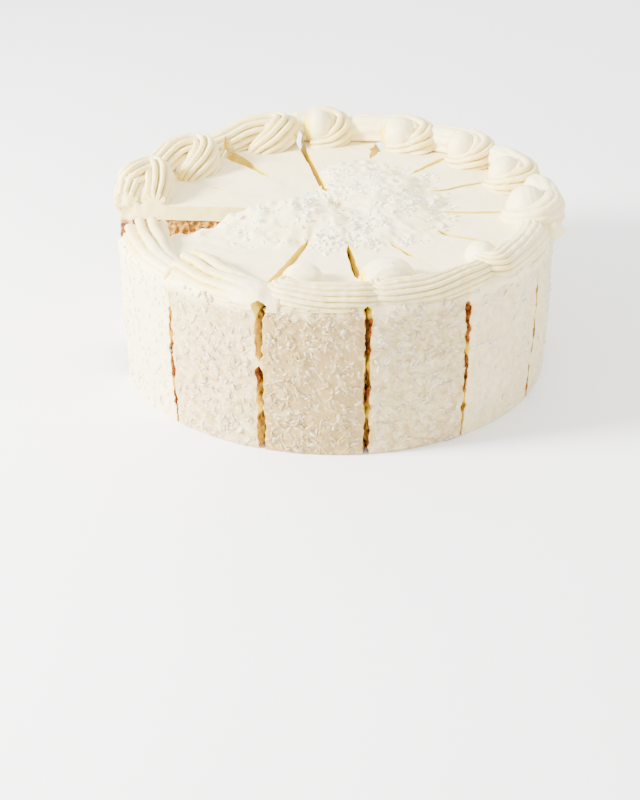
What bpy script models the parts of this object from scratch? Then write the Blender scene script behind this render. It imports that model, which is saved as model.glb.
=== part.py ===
"""A round three-layer cream cake, cut into slices with one slice taken out.

Metres, +Z up. The cake's axis is upright, and the cake stands on the plane z = 0.
A bearing is an angle round the axis in degrees: 0 looks along -Y, the front, and 90 along +X.
Each slice is three sponge layers and one comb of cream: the side coat, the top and the two
fillings are one mass, with the piped border and the larger coconut shreds fused to it.
"""

import math
import random

import bmesh
import bpy
from mathutils import Matrix, Vector

# Driving dimensions of the cake.
RADIUS = 0.127
FOOT_RADIUS = 0.1258
WAIST_RADIUS = 0.1278
WAIST_HEIGHT = 0.045
HEIGHT = 0.0905
SIDE_COAT = 0.0075
TOP_COAT = 0.0090
SPONGE = 0.0225
LOWER_FILLING = 0.0080
UPPER_FILLING = 0.0065
RIM_ROUNDING = 0.0055
THINNER_BASE = 0.0020
MOUND_RADIUS = 0.074
MOUND_SECTION = ((1.0, 0.0), (0.72, 0.6), (0.40, 1.0))
MOUND_MIDDLE = 0.8
MOUND_LUMPS = 0.0012
POINT_RADIUS = 0.0012
FIT_GAP = 0.0003

# The cuts: the width of each slice in degrees, going round from the front cut of the missing
# slice, how wide each cut between two slices stands open at the side, and how high the coconut
# is heaped on each slice.
FIRST_CUT = -73.5
SLICE_WIDTHS = (29.5, 26.0, 26.0, 26.0, 28.0, 27.5, 27.5, 24.5, 24.0, 25.5, 25.0, 28.0, 22.5)
CUT_OPENINGS = (0.0018, 0.0046, 0.0034, 0.0026, 0.0020, 0.0012, 0.0012, 0.0018, 0.0038,
                0.0034, 0.0044, 0.0012)
MOUND_HEIGHTS = (0.0100, 0.0095, 0.0075, 0.0055, 0.0055, 0.0070, 0.0080, 0.0070, 0.0060, 0.0050,
                 0.0038, 0.0030, 0.0032)
PULLED_OUT = 0.0009
# Where the axis stands, which puts the origin under the middle of the whole cake.
AXIS_PLACE = Vector((-0.0007, -0.0030, 0.0))
ARC_STEPS = 3
OVERRUN = 1.5
KNIFE_REACH = 0.17
KNIFE_BELOW = 0.02
WELD = 0.00005

# The piped border is a row of swirls, each one rope of cream with a ridged section.
ROPE_RIDGES = 5
ROPE_ARCH = 236.0
SOLE_HALF_WIDTH = 0.55
# The kinds of swirl, each as a rope's centreline. The head has rows of the way along the rim
# from the swirl's bearing, the way in from the rim, the height above the top and the rope's
# radius. The tail's rows start with a share of the way to the next swirl.
FOLDED = (
    ((0.0310, 0.0225, -0.0004, 0.0058), (0.0205, 0.0248, 0.0014, 0.0082),
     (0.0090, 0.0242, 0.0048, 0.0096), (-0.0005, 0.0195, 0.0082, 0.0102),
     (-0.0035, 0.0115, 0.0088, 0.0103), (0.0060, 0.0050, 0.0086, 0.0100)),
    ((0.32, 0.0035, 0.0068, 0.0094), (0.55, 0.0035, 0.0036, 0.0086), (0.90, 0.0045, 0.0012, 0.0074)),
)
KNOBBED = (
    ((0.0070, 0.0175, 0.0000, 0.0042), (-0.0095, 0.0185, 0.0022, 0.0062),
     (-0.0155, 0.0135, 0.0048, 0.0076), (-0.0145, 0.0065, 0.0076, 0.0087),
     (-0.0050, 0.0025, 0.0086, 0.0092)),
    ((0.18, 0.0020, 0.0075, 0.0088), (0.50, 0.0030, 0.0068, 0.0086), (0.82, 0.0050, 0.0030, 0.0070)),
)
FLATTENED = (
    ((-0.0060, 0.0280, 0.0005, 0.0045), (-0.0120, 0.0235, 0.0008, 0.0060),
     (-0.0145, 0.0165, 0.0010, 0.0075), (-0.0100, 0.0115, 0.0008, 0.0084)),
    ((0.05, 0.0098, 0.0006, 0.0088), (0.30, 0.0095, 0.0004, 0.0088), (0.60, 0.0105, 0.0003, 0.0085),
     (0.90, 0.0140, -0.0010, 0.0070)),
)
SWEPT = (
    ((-0.0080, 0.0160, 0.0010, 0.0100), (0.0060, 0.0155, 0.0012, 0.0104)),
    ((0.35, 0.0125, 0.0004, 0.0098), (0.65, 0.0095, -0.0012, 0.0084), (0.95, 0.0080, -0.0028, 0.0066)),
)
# How far below its centreline each kind of rope lies flat, for a radius of one.
SOLES = {FOLDED: 1.02, KNOBBED: 1.10, FLATTENED: 0.75, SWEPT: 0.76}
# Each swirl: its kind, its bearing, how long and how wide its head is, how high it stands, the
# radius of the smooth knob at its head, and how far in its rope's grooves go, as a share of the
# rope's radius.
SWIRLS = (
    (SWEPT, -76.0, 1.0, 1.0, 1.0, 0.0, 0.76),
    (SWEPT, -42.5, 1.0, 1.0, 1.0, 0.0, 0.76),
    (FLATTENED, -9.8, 0.87, 1.0, 1.0, 0.0115, 0.90),
    (FLATTENED, 16.3, 1.0, 1.0, 1.0, 0.0135, 0.90),
    (FLATTENED, 51.0, 0.8, 0.86, 1.1, 0.0095, 0.90),
    (KNOBBED, 86.5, 1.05, 1.35, 0.85, 0.0125, 0.82),
    (KNOBBED, 113.5, 0.9, 1.3, 0.86, 0.0108, 0.78),
    (KNOBBED, 136.5, 0.95, 1.0, 1.0, 0.0100, 0.78),
    (KNOBBED, 159.5, 1.1, 0.92, 1.05, 0.0108, 0.78),
    (KNOBBED, 185.5, 0.95, 0.92, 1.22, 0.0098, 0.78),
    (FOLDED, 198.0, 0.72, 0.66, 1.12, 0.0, 0.76),
    (FOLDED, 229.0, 1.0, 1.0, 1.0, 0.0, 0.76),
    (FOLDED, 253.0, 1.3, 0.74, 1.02, 0.0, 0.76),
)
AFTER_LAST = 268.0
ROPE_REACH = 4.5
SWIRL_UNEVENNESS = 0.0006
# A knob's way in from the rim and height above the top, and its shape: its half length along
# the rim, its half width and its half height for a radius of one.
KNOBS = {
    KNOBBED: (0.0118, 0.0080, (1.00, 0.96, 1.02)),
    FLATTENED: (0.0270, 0.0038, (1.15, 1.00, 0.86)),
}
KNOB_SEGMENTS = 8
KNOB_RINGS = 6
# The drip of cream that hangs out over the rim.
DRIP_SLICE = 6
DRIP_PLACE = (79.0, 0.1270, 0.0905)
DRIP_RADII = (0.0065, 0.0074, 0.0080)

# Coconut shreds large enough to model: their size, and how many lie on each slice.
SHRED_LENGTH = 0.0080
SHRED_WIDTH = 0.0018
SHRED_THICKNESS = 0.0014
SHRED_BEND = 0.0008
SIDE_SHREDS = 3
MOUND_SHREDS = 2
SHRED_MARGIN = 5.0
SHRED_ZONE = (0.12, 0.82)
MOUND_SHRED_ZONE = (0.42, 0.62)
RANDOM_SEED = 27

SPONGE_FINISH = ("sponge_crumb", (0.66, 0.46, 0.26, 1.0), 0.92)
CREAM_FINISH = ("cream_icing", (0.88, 0.85, 0.76, 1.0), 0.45)


def clear_scene():
    for thing in list(bpy.data.objects):
        bpy.data.objects.remove(thing, do_unlink=True)


def new_collection(name):
    collection = bpy.data.collections.new(name)
    bpy.context.scene.collection.children.link(collection)
    return collection


def new_material(name, colour, roughness):
    material = bpy.data.materials.new(name)
    material.use_nodes = True
    shader = material.node_tree.nodes["Principled BSDF"]
    shader.inputs["Base Color"].default_value = colour
    shader.inputs["Roughness"].default_value = roughness
    shader.inputs["Metallic"].default_value = 0.0
    return material


def put(name, data, collection):
    thing = bpy.data.objects.new(name, data)
    collection.objects.link(thing)
    return thing


def put_shape(name, shape, collection):
    """A new object from a bmesh, which is then let go."""
    mesh = bpy.data.meshes.new(name)
    shape.to_mesh(mesh)
    shape.free()
    return put(name, mesh, collection)


def evaluated_mesh(thing):
    bpy.context.view_layer.update()
    graph = bpy.context.evaluated_depsgraph_get()
    return bpy.data.meshes.new_from_object(thing.evaluated_get(graph))


def empty_collection(collection):
    for thing in list(collection.objects):
        bpy.data.objects.remove(thing, do_unlink=True)


def round_axis(bearing, radius, height):
    """The point at this bearing in degrees, distance from the axis and height."""
    turn = math.radians(bearing)
    return Vector((radius * math.sin(turn), -radius * math.cos(turn), height))


def turned_wedge(name, profile, start, end, collection):
    """A closed outline of (radius, height) points, turned round the axis between two bearings."""
    shape = bmesh.new()
    corners = [shape.verts.new(round_axis(start, radius, height)) for radius, height in profile]
    face = shape.faces.new(corners)
    bmesh.ops.spin(
        shape, geom=[face, *face.edges, *face.verts], cent=(0, 0, 0), axis=(0, 0, 1),
        angle=math.radians(end - start), steps=ARC_STEPS)
    bmesh.ops.recalc_face_normals(shape, faces=shape.faces)
    return put_shape(name, shape, collection)


def slice_spans():
    """The start and end bearing of each slice, with half of each cut's opening taken off."""
    spans = []
    start = FIRST_CUT
    openings = (0.0, *CUT_OPENINGS, 0.0)
    for number, width in enumerate(SLICE_WIDTHS):
        end = start + width
        pulled = 2 * PULLED_OUT * math.sin(math.radians(width / 2))
        before = math.degrees(max(openings[number] - pulled, 0.0) / 2 / RADIUS)
        after = math.degrees(max(openings[number + 1] - pulled, 0.0) / 2 / RADIUS)
        spans.append((start + before, end - after))
        start = end
    return spans


def sponge_levels():
    """The underside and the top of each sponge layer, from the bottom up."""
    bottom = SPONGE - THINNER_BASE
    middle = bottom + LOWER_FILLING
    upper = middle + SPONGE + UPPER_FILLING
    return {
        "bottom": (0.0, bottom),
        "middle": (middle, middle + SPONGE),
        "top": (upper, HEIGHT - TOP_COAT),
    }


def cream_profile(mound):
    """The comb of cream in section: the side coat and, running in from it, the top and fillings."""
    inside = RADIUS - SIDE_COAT
    outline = [(inside, 0.0), (FOOT_RADIUS, 0.0), (WAIST_RADIUS, WAIST_HEIGHT)]
    outline.append((RADIUS, HEIGHT - RIM_ROUNDING))
    corner = RIM_ROUNDING * (1 - math.sin(math.radians(45)))
    outline.append((RADIUS - corner, HEIGHT - corner))
    outline.append((RADIUS - RIM_ROUNDING, HEIGHT))
    for out, up in MOUND_SECTION:
        outline.append((MOUND_RADIUS * out, HEIGHT + mound * up))
    outline.append((POINT_RADIUS, HEIGHT + mound * MOUND_MIDDLE))
    for low, high in reversed(list(sponge_levels().values())):
        outline.append((POINT_RADIUS, high + FIT_GAP))
        outline.append((inside, high + FIT_GAP))
        if low > 0:
            outline.append((inside, low - FIT_GAP))
            outline.append((POINT_RADIUS, low - FIT_GAP))
    return outline


def rope_section(swirl, collection):
    """A swirl's rope in section, one metre in radius: ridges over the top and a flat sole."""
    kind = swirl[0]
    groove = swirl[6]
    outline = []
    steps = 2 * ROPE_RIDGES
    for step in range(steps + 1):
        turn = math.radians(90 + ROPE_ARCH * (step / steps - 0.5))
        reach = 1.0 if step % 2 else groove
        outline.append((reach * math.cos(turn), reach * math.sin(turn)))
    outline += [(-SOLE_HALF_WIDTH, -SOLES[kind]), (SOLE_HALF_WIDTH, -SOLES[kind])]
    curve = bpy.data.curves.new("section", "CURVE")
    curve.dimensions = "2D"
    spline = curve.splines.new("POLY")
    spline.points.add(len(outline) - 1)
    for point, (across, up) in zip(spline.points, outline):
        point.co = (across, up, 0.0, 1.0)
    spline.use_cyclic_u = True
    section = put("section", curve, collection)
    section.hide_render = True
    section.display_type = "WIRE"
    return section


def swirl_points(swirl, bearing_after):
    """The centreline and radii of one swirl's rope, a little uneven."""
    (head, tail), bearing, length, width, lift = swirl[:5]
    rows = [(bearing + math.degrees(along * length / RADIUS), inward * width, above, radius)
            for along, inward, above, radius in head]
    rows += [(bearing + (bearing_after - bearing) * share, inward, above, radius)
             for share, inward, above, radius in tail]
    draw = random.Random(round(bearing * 10))
    points = []
    for place, inward, above, radius in rows:
        place += math.degrees(draw.uniform(-1, 1) * SWIRL_UNEVENNESS / RADIUS)
        inward += draw.uniform(-1, 1) * SWIRL_UNEVENNESS
        above += draw.uniform(-0.5, 0.5) * SWIRL_UNEVENNESS
        centre = round_axis(place, RADIUS - inward, HEIGHT + above * lift)
        points.append((centre, radius * (0.5 + 0.5 * lift)))
    return points


def piped_rope(name, points, section, collection):
    """A ridged rope of cream, closed at its ends, as a mesh."""
    curve = bpy.data.curves.new(name, "CURVE")
    curve.dimensions = "3D"
    curve.bevel_mode = "OBJECT"
    curve.bevel_object = section
    curve.twist_mode = "Z_UP"
    curve.use_fill_caps = True
    curve.resolution_u = 2
    spline = curve.splines.new("BEZIER")
    spline.bezier_points.add(len(points) - 1)
    for knot, (place, radius) in zip(spline.bezier_points, points):
        knot.co = place
        knot.radius = radius
        knot.handle_left_type = "AUTO"
        knot.handle_right_type = "AUTO"
    guide = put(name, curve, collection)
    mesh = evaluated_mesh(guide)
    bpy.data.objects.remove(guide, do_unlink=True)
    shape = bmesh.new()
    shape.from_mesh(mesh)
    bmesh.ops.remove_doubles(shape, verts=shape.verts, dist=WELD)
    bmesh.ops.recalc_face_normals(shape, faces=shape.faces)
    return put_shape(name, shape, collection)


def lump(name, place, radii, collection):
    """A rounded lump of cream; its place is a bearing, a distance from the axis and a height."""
    shape = bmesh.new()
    bmesh.ops.create_uvsphere(
        shape, u_segments=KNOB_SEGMENTS, v_segments=KNOB_RINGS, radius=1.0,
        matrix=Matrix.Diagonal((*radii, 1.0)))
    turn = Matrix.Rotation(math.radians(place[0]), 4, "Z")
    bmesh.ops.transform(
        shape, matrix=Matrix.Translation(round_axis(*place)) @ turn, verts=shape.verts)
    return put_shape(name, shape, collection)


def knob(swirl, collection):
    """The smooth knob of cream that a swirl's head wraps round."""
    kind, bearing, length, width, lift, radius = swirl[:6]
    inward, above, shape = KNOBS[kind]
    half_length, half_width, half_height = (radius * share for share in shape)
    place = (bearing, RADIUS - inward * width, HEIGHT + above * lift)
    sizes = (half_length * length, half_width, half_height * (0.5 + 0.5 * lift))
    return lump("knob", place, sizes, collection)


def border(span, sections, collection):
    """The swirls that reach into a slice."""
    start, end = span
    afters = [swirl[1] for swirl in SWIRLS[1:]] + [AFTER_LAST]
    for swirl, section, after in zip(SWIRLS, sections, afters):
        (head, tail), bearing, length = swirl[:3]
        first = bearing + math.degrees(min(row[0] for row in head) * length / RADIUS) - ROPE_REACH
        last = bearing + (after - bearing) * tail[-1][0] + ROPE_REACH
        if first < end and last > start:
            piped_rope("rope", swirl_points(swirl, after), section, collection)
            if swirl[5]:
                knob(swirl, collection)


def shred(name, place, outward, spin, collection):
    """A bent strip of coconut that lies half sunk in the cream, its long side across outward."""
    shape = bmesh.new()
    bmesh.ops.create_cube(
        shape, size=1.0,
        matrix=Matrix.Diagonal((SHRED_LENGTH, SHRED_WIDTH, SHRED_THICKNESS, 1.0)))
    long_edges = [
        edge for edge in shape.edges
        if abs(edge.verts[0].co.x - edge.verts[1].co.x) > SHRED_LENGTH / 2]
    bmesh.ops.subdivide_edges(shape, edges=long_edges, cuts=1, use_grid_fill=True)
    for corner in shape.verts:
        if abs(corner.co.x) < SHRED_LENGTH / 4:
            corner.co.z += SHRED_BEND
            corner.co.y += SHRED_BEND
    turn = outward.to_track_quat("Z", "Y").to_matrix().to_4x4()
    matrix = Matrix.Translation(place) @ turn @ Matrix.Rotation(spin, 4, "Z")
    bmesh.ops.transform(shape, matrix=matrix, verts=shape.verts)
    return put_shape(name, shape, collection)


def side_radius(height):
    """How far the side stands from the axis at this height."""
    if height < WAIST_HEIGHT:
        return FOOT_RADIUS + (WAIST_RADIUS - FOOT_RADIUS) * height / WAIST_HEIGHT
    share = (height - WAIST_HEIGHT) / (HEIGHT - RIM_ROUNDING - WAIST_HEIGHT)
    return WAIST_RADIUS + (RADIUS - WAIST_RADIUS) * share


def scatter_shreds(start, end, mound, draw, collection):
    """Evenly spread strips on the slice's side and on its share of the mound."""
    left = start + SHRED_MARGIN
    right = end - SHRED_MARGIN
    lowest, highest = SHRED_ZONE
    for number in range(SIDE_SHREDS):
        bearing = left + (right - left) * draw.random()
        level = lowest + (highest - lowest) * (number + draw.random()) / SIDE_SHREDS
        height = HEIGHT * level
        radius = side_radius(height)
        shred("side_shred", round_axis(bearing, radius, height), round_axis(bearing, 1.0, 0.0),
              draw.uniform(0, math.pi), collection)
    for number in range(MOUND_SHREDS):
        bearing = left + (right - left) * (number + 0.5) / MOUND_SHREDS
        radius = MOUND_RADIUS * draw.uniform(*MOUND_SHRED_ZONE)
        rise = mound * (1.5 - 1.25 * radius / MOUND_RADIUS)
        shred("mound_shred", round_axis(bearing, radius, HEIGHT + rise), Vector((0, 0, 1)),
              draw.uniform(0, math.pi), collection)


def knife_wedge(name, start, end, collection):
    """The space between two knife cuts, from below the cake to above it."""
    middle = (start + end) / 2
    shape = bmesh.new()
    corners = [(0.0, middle), (KNIFE_REACH, start), (KNIFE_REACH, middle), (KNIFE_REACH, end)]
    face = shape.faces.new(
        [shape.verts.new(round_axis(bearing, reach, -KNIFE_BELOW)) for reach, bearing in corners])
    raised = bmesh.ops.extrude_face_region(shape, geom=[face])["geom"]
    lifted = [item for item in raised if isinstance(item, bmesh.types.BMVert)]
    bmesh.ops.translate(shape, vec=(0, 0, HEIGHT * 2), verts=lifted)
    bmesh.ops.recalc_face_normals(shape, faces=shape.faces)
    wedge = put_shape(name, shape, collection)
    wedge.hide_render = True
    wedge.display_type = "WIRE"
    return wedge


def roughen_mound(comb, draw):
    """Turn the heap of coconut into uneven lumps."""
    shape = bmesh.new()
    shape.from_mesh(comb.data)
    for corner in shape.verts:
        if corner.co.z > HEIGHT + FIT_GAP:
            corner.co.z += draw.uniform(-1, 1) * MOUND_LUMPS
    bmesh.ops.triangulate(shape, faces=shape.faces)
    shape.to_mesh(comb.data)
    shape.free()


def is_closed(mesh):
    """Whether a mesh has faces and each of its edges joins two of them."""
    shape = bmesh.new()
    shape.from_mesh(mesh)
    closed = bool(shape.faces) and all(edge.is_manifold for edge in shape.edges)
    shape.free()
    return closed


def boolean(thing, operation, cutter=None, collection=None):
    """Join or cut the object with another or with a collection, and keep the result."""
    modifier = thing.modifiers.new(operation.lower(), "BOOLEAN")
    modifier.operation = operation
    if collection:
        modifier.operand_type = "COLLECTION"
        modifier.collection = collection
    else:
        modifier.object = cutter
    mesh = evaluated_mesh(thing)
    if not is_closed(mesh):
        modifier.solver = "MANIFOLD"
        mesh = evaluated_mesh(thing)
    thing.modifiers.clear()
    thing.data = mesh


def connected_corners(shape):
    """The shape's corners in groups that no edge joins."""
    groups = []
    waiting = set(shape.verts)
    while waiting:
        group = set()
        reached = [waiting.pop()]
        while reached:
            corner = reached.pop()
            group.add(corner)
            for edge in corner.link_edges:
                other = edge.other_vert(corner)
                if other in waiting:
                    waiting.remove(other)
                    reached.append(other)
        groups.append(group)
    return groups


def drop_scraps(thing):
    """Keep the main body, without loose scraps and without hollows that the joins seal."""
    shape = bmesh.new()
    shape.from_mesh(thing.data)
    groups = sorted(connected_corners(shape), key=len)
    for group in groups[:-1]:
        bmesh.ops.delete(shape, geom=list(group), context="VERTS")
    shape.to_mesh(thing.data)
    shape.free()


def cream_comb(number, span, sections, draw, cake, fused, cutters):
    """One slice's cream: the comb, the border that crosses the slice, and its shreds."""
    start, end = span
    mound = MOUND_HEIGHTS[number]
    name = f"slice_{number + 1:02d}_cream"
    comb = turned_wedge(name, cream_profile(mound), start - OVERRUN, end + OVERRUN, cake)
    roughen_mound(comb, draw)
    border(span, sections, fused)
    if number + 1 == DRIP_SLICE:
        lump("drip", DRIP_PLACE, DRIP_RADII, fused)
    scatter_shreds(start, end, mound, draw, fused)
    boolean(comb, "UNION", collection=fused)
    boolean(comb, "INTERSECT", cutter=knife_wedge("knife", start, end, cutters))
    empty_collection(fused)
    drop_scraps(comb)
    comb.data.materials.clear()
    return comb


def pull_out(pieces, span):
    """Draw a slice's pieces a little away from the axis, and set the axis in its place."""
    middle = (span[0] + span[1]) / 2
    for piece in pieces:
        piece.location = round_axis(middle, PULLED_OUT, 0.0) + AXIS_PLACE


def main():
    clear_scene()
    cake = new_collection("cream_cake")
    cutters = new_collection("cutters")
    fused = new_collection("fused")
    crumb = new_material(*SPONGE_FINISH)
    icing = new_material(*CREAM_FINISH)
    sections = [rope_section(swirl, cutters) for swirl in SWIRLS]
    draw = random.Random(RANDOM_SEED)
    inside = RADIUS - SIDE_COAT - FIT_GAP
    for number, span in enumerate(slice_spans()):
        pieces = []
        for layer, (low, high) in sponge_levels().items():
            name = f"slice_{number + 1:02d}_sponge_{layer}"
            outline = [(POINT_RADIUS, low), (inside, low), (inside, high), (POINT_RADIUS, high)]
            pieces.append(turned_wedge(name, outline, *span, cake))
            pieces[-1].data.materials.append(crumb)
        comb = cream_comb(number, span, sections, draw, cake, fused, cutters)
        comb.data.materials.append(icing)
        pieces.append(comb)
        pull_out(pieces, span)


main()
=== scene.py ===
"""The looks of a sliced cream cake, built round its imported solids.

Metres, +Z up, in the frame of the solids: the cake's axis is the Z axis and it stands on z = 0.
A bearing is an angle round the axis in degrees: 0 looks along -Y, the front, and 90 along +X.
"""

import math
import random
from itertools import product

import bpy
import numpy as np
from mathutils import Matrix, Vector


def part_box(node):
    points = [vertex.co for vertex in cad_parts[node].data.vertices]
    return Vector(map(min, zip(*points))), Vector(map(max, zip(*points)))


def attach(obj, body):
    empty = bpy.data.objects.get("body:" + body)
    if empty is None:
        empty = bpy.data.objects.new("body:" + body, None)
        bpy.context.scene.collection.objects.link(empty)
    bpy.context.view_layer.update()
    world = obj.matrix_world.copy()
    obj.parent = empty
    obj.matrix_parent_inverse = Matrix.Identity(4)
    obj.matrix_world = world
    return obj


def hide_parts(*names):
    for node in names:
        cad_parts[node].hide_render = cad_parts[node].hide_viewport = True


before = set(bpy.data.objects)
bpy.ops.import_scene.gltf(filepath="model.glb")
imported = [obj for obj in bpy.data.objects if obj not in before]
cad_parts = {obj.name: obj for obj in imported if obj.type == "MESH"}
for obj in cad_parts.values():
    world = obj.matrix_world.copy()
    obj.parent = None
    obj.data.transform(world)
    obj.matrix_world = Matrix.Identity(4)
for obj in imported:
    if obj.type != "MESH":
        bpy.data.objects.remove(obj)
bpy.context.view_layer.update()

# Sizes of the cake, as its solids have them.
RADIUS = 0.127
FOOT_RADIUS = 0.1258
WAIST_RADIUS = 0.1278
WAIST_HEIGHT = 0.045
HEIGHT = 0.0905
SIDE_COAT = 0.0075
RIM_ROUNDING = 0.0055
POINT_RADIUS = 0.0012
FIT_GAP = 0.0003
# How far the heap of coconut reaches from the axis at these bearings.
MOUND_BEARINGS = (-73.5, -45, -31, -18, 8, 34, 62, 90, 117, 141, 165, 184, 196, 230, 266)
MOUND_REACHES = (0.092, 0.074, 0.066, 0.058, 0.062, 0.060, 0.068, 0.068, 0.076, 0.084, 0.088, 0.074,
                 0.030, 0.030, 0.036)
FIRST_CUT = -73.5
SLICE_WIDTHS = (29.5, 26.0, 26.0, 26.0, 28.0, 27.5, 27.5, 24.5, 24.0, 25.5, 25.0, 28.0, 22.5)
CUT_OPENINGS = (0.0018, 0.0046, 0.0034, 0.0026, 0.0020, 0.0012, 0.0012, 0.0018, 0.0038,
                0.0034, 0.0044, 0.0012)
MOUND_HEIGHTS = (0.0100, 0.0095, 0.0075, 0.0055, 0.0055, 0.0070, 0.0080, 0.0070, 0.0060, 0.0050,
                 0.0038, 0.0030, 0.0032)
SUNK_EDGE = 0.0046
PULLED_OUT = 0.0009
AXIS_PLACE = Vector((-0.0007, -0.0030, 0.0))

# How far below the top the smeared border bridges each cut, and from how far out. Nearer to the
# axis than its start, the coconut bridges a cut down to the bridge's depth. A bridged cut is
# left open by a hairline, and the bridges' edges are ragged.
HAIRLINE = 0.00003
CUT_COVERS = (0.018, 0.000, 0.002, 0.008, 0.018, 0.004, 0.004, 0.004, 0.000, -0.008, 0.000, 0.004)
COVER_REACHES = (0.030, 0.104, 0.094, 0.076, 0.090, 0.100, 0.100, 0.110, 0.108, 0.108, 0.116, 0.080)
CUT_STARTS = (0.130, 0.050, 0.057, 0.055, 0.064, 0.062, 0.070, 0.078, 0.095, 0.019, 0.068, 0.078)
BRIDGE_DEPTH = 0.004
RAGGEDNESS = 0.0012
# How far a cut is torn open beside the border, from how far out; how far it is torn open at the
# top of the side, and above what height; how much cream the fillings smear across it; how much
# its sponge narrows it; and from how far out crumbs fill it.
TORN_BORDERS = {1: (0.0004, 0.075), 8: (0.0026, 0.092), 10: (0.0020, 0.086)}
TORN_SIDES = {1: (0.0009, 0.076), 2: (0.0006, 0.082), 3: (0.0018, 0.073), 4: (0.0006, 0.070)}
SMEARED_FILLINGS = {1: 0.95, 2: 0.25, 3: 0.80, 4: 0.95, 5: 0.95}
NARROWED = {1: 0.16, 2: 0.12, 3: 0.20, 4: 0.20}
CRUMBS_FROM = 0.104

# The kinds of swirl in the piped border, each as a rope's centreline. The head has rows of the
# way along the rim from the swirl's bearing, the way in from the rim, the height above the top
# and the rope's radius. The tail's rows start with a share of the way to the next swirl.
FOLDED = (
    ((0.0310, 0.0225, -0.0056, 0.0058), (0.0205, 0.0248, 0.0008, 0.0082),
     (0.0090, 0.0242, 0.0048, 0.0096), (-0.0005, 0.0195, 0.0082, 0.0102),
     (-0.0035, 0.0115, 0.0088, 0.0103), (0.0060, 0.0050, 0.0086, 0.0100)),
    ((0.32, 0.0035, 0.0068, 0.0094), (0.55, 0.0035, 0.0036, 0.0086), (0.90, 0.0045, 0.0006, 0.0074),
     (1.25, 0.0050, -0.0012, 0.0062)),
)
KNOBBED = (
    ((0.0070, 0.0175, 0.0000, 0.0042), (-0.0010, 0.0195, 0.0008, 0.0050),
     (-0.0095, 0.0185, 0.0022, 0.0062), (-0.0155, 0.0135, 0.0048, 0.0076),
     (-0.0145, 0.0065, 0.0076, 0.0087), (-0.0050, 0.0025, 0.0086, 0.0092)),
    ((0.18, 0.0020, 0.0075, 0.0088), (0.50, 0.0030, 0.0068, 0.0086), (0.82, 0.0050, 0.0030, 0.0070)),
)
FLATTENED = (
    ((-0.0020, 0.0250, 0.0005, 0.0045), (-0.0075, 0.0215, 0.0008, 0.0060),
     (-0.0105, 0.0155, 0.0010, 0.0075), (-0.0080, 0.0115, 0.0008, 0.0084)),
    ((0.05, 0.0098, 0.0006, 0.0088), (0.30, 0.0095, 0.0004, 0.0088), (0.60, 0.0105, 0.0003, 0.0085),
     (0.90, 0.0140, -0.0010, 0.0070)),
)
SWEPT = (
    ((-0.0080, 0.0160, 0.0010, 0.0100), (0.0060, 0.0155, 0.0012, 0.0104)),
    ((0.35, 0.0125, 0.0004, 0.0098), (0.65, 0.0095, -0.0012, 0.0084), (0.95, 0.0080, -0.0028, 0.0066)),
)

# Each swirl: its kind, its bearing, how long and how wide its head is, how high it stands, the
# radius of the smooth knob at its head, and how deep its grooves are at its head and at the end.
SWIRLS = (
    (SWEPT, -76.0, 1.0, 1.00, 1.00, 0.0, 0.42, 0.10),
    (SWEPT, -42.5, 1.0, 1.00, 1.00, 0.0, 0.42, 0.00),
    (FLATTENED, -9.8, 0.87, 1.00, 1.00, 0.0115, 0.16, 0.20),
    (FLATTENED, 16.3, 1.0, 1.00, 1.00, 0.0135, 0.16, 0.22),
    (FLATTENED, 51.0, 0.8, 0.86, 1.10, 0.0095, 0.20, 0.10),
    (KNOBBED, 86.5, 1.05, 1.35, 0.85, 0.0125, 0.16, 0.06),
    (KNOBBED, 113.5, 0.9, 1.30, 0.86, 0.0108, 0.38, 0.06),
    (KNOBBED, 136.5, 0.95, 1.00, 1.00, 0.0100, 0.42, 0.08),
    (KNOBBED, 159.5, 1.10, 0.92, 1.05, 0.0108, 0.42, 0.08),
    (KNOBBED, 185.5, 0.95, 0.92, 1.22, 0.0098, 0.42, 0.12),
    (FOLDED, 198.0, 0.72, 0.66, 1.12, 0.0, 0.44, 0.30),
    (FOLDED, 229.0, 1.0, 1.00, 1.00, 0.0090, 0.46, 0.30),
    (FOLDED, 253.0, 1.3, 0.80, 1.02, 0.0090, 0.46, 0.26),
)
AFTER_LAST = 268.0
SWIRL_UNEVENNESS = 0.0006
SWIRL_REACH = 6.0
# A knob's way along the rim from its swirl's bearing, its way in from the rim and its height
# above the top, and its half length, half width and half height for a radius of one.
KNOBS = {
    FOLDED: (0.0080, 0.0140, -0.0005, (1.40, 0.75, 0.95)),
    KNOBBED: (0.0, 0.0118, 0.0080, (1.00, 0.96, 1.02)),
    FLATTENED: (0.0, 0.0270, 0.0015, (1.15, 1.00, 0.80)),
}
KNOB_RIPPLES = {FOLDED: 0.0004, KNOBBED: 0.0004, FLATTENED: 0.0013}
# The drip of cream that hangs out over the rim, and how much it narrows to its tip.
DRIP_SLICE = 6
DRIP_PLACE = (79.0, 0.1270, 0.0895)
DRIP_RADII = (0.0055, 0.0082, 0.0066)
DRIP_TAPER = 0.80

# How much painted shade darkens and browns each slice's side, how thickly the coconut lies on it,
# how much painted shade darkens and browns its border, and how much of a cut's painted shade the faces
# beside the missing slice show.
SIDE_PAINTED_SHADES = (0.20, 0.76, 1.12, 0.76, 0.42, 0.40, 0.40, 0.40, 0.40, 0.40, 0.40, 0.35, 0.20)
SIDE_DENSITIES = (0.55, 0.90, 1.50, 1.00, 0.45, 0.35, 0.50, 0.60, 0.70, 0.70, 0.60, 0.60, 0.50)
BORDER_PAINTED_SHADES = (0.0, 0.06, 0.34, 0.34, 0.14, 0.12, 0.05, 0.0, 0.0, 0.0, 0.0, 0.0, 0.0)
OPEN_CUT_SHADE = 0.42
# Between which reaches the inner ends of the torn cuts are given the painted shade of cut faces.
END_WALLS = (0.090, 0.114)

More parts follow.
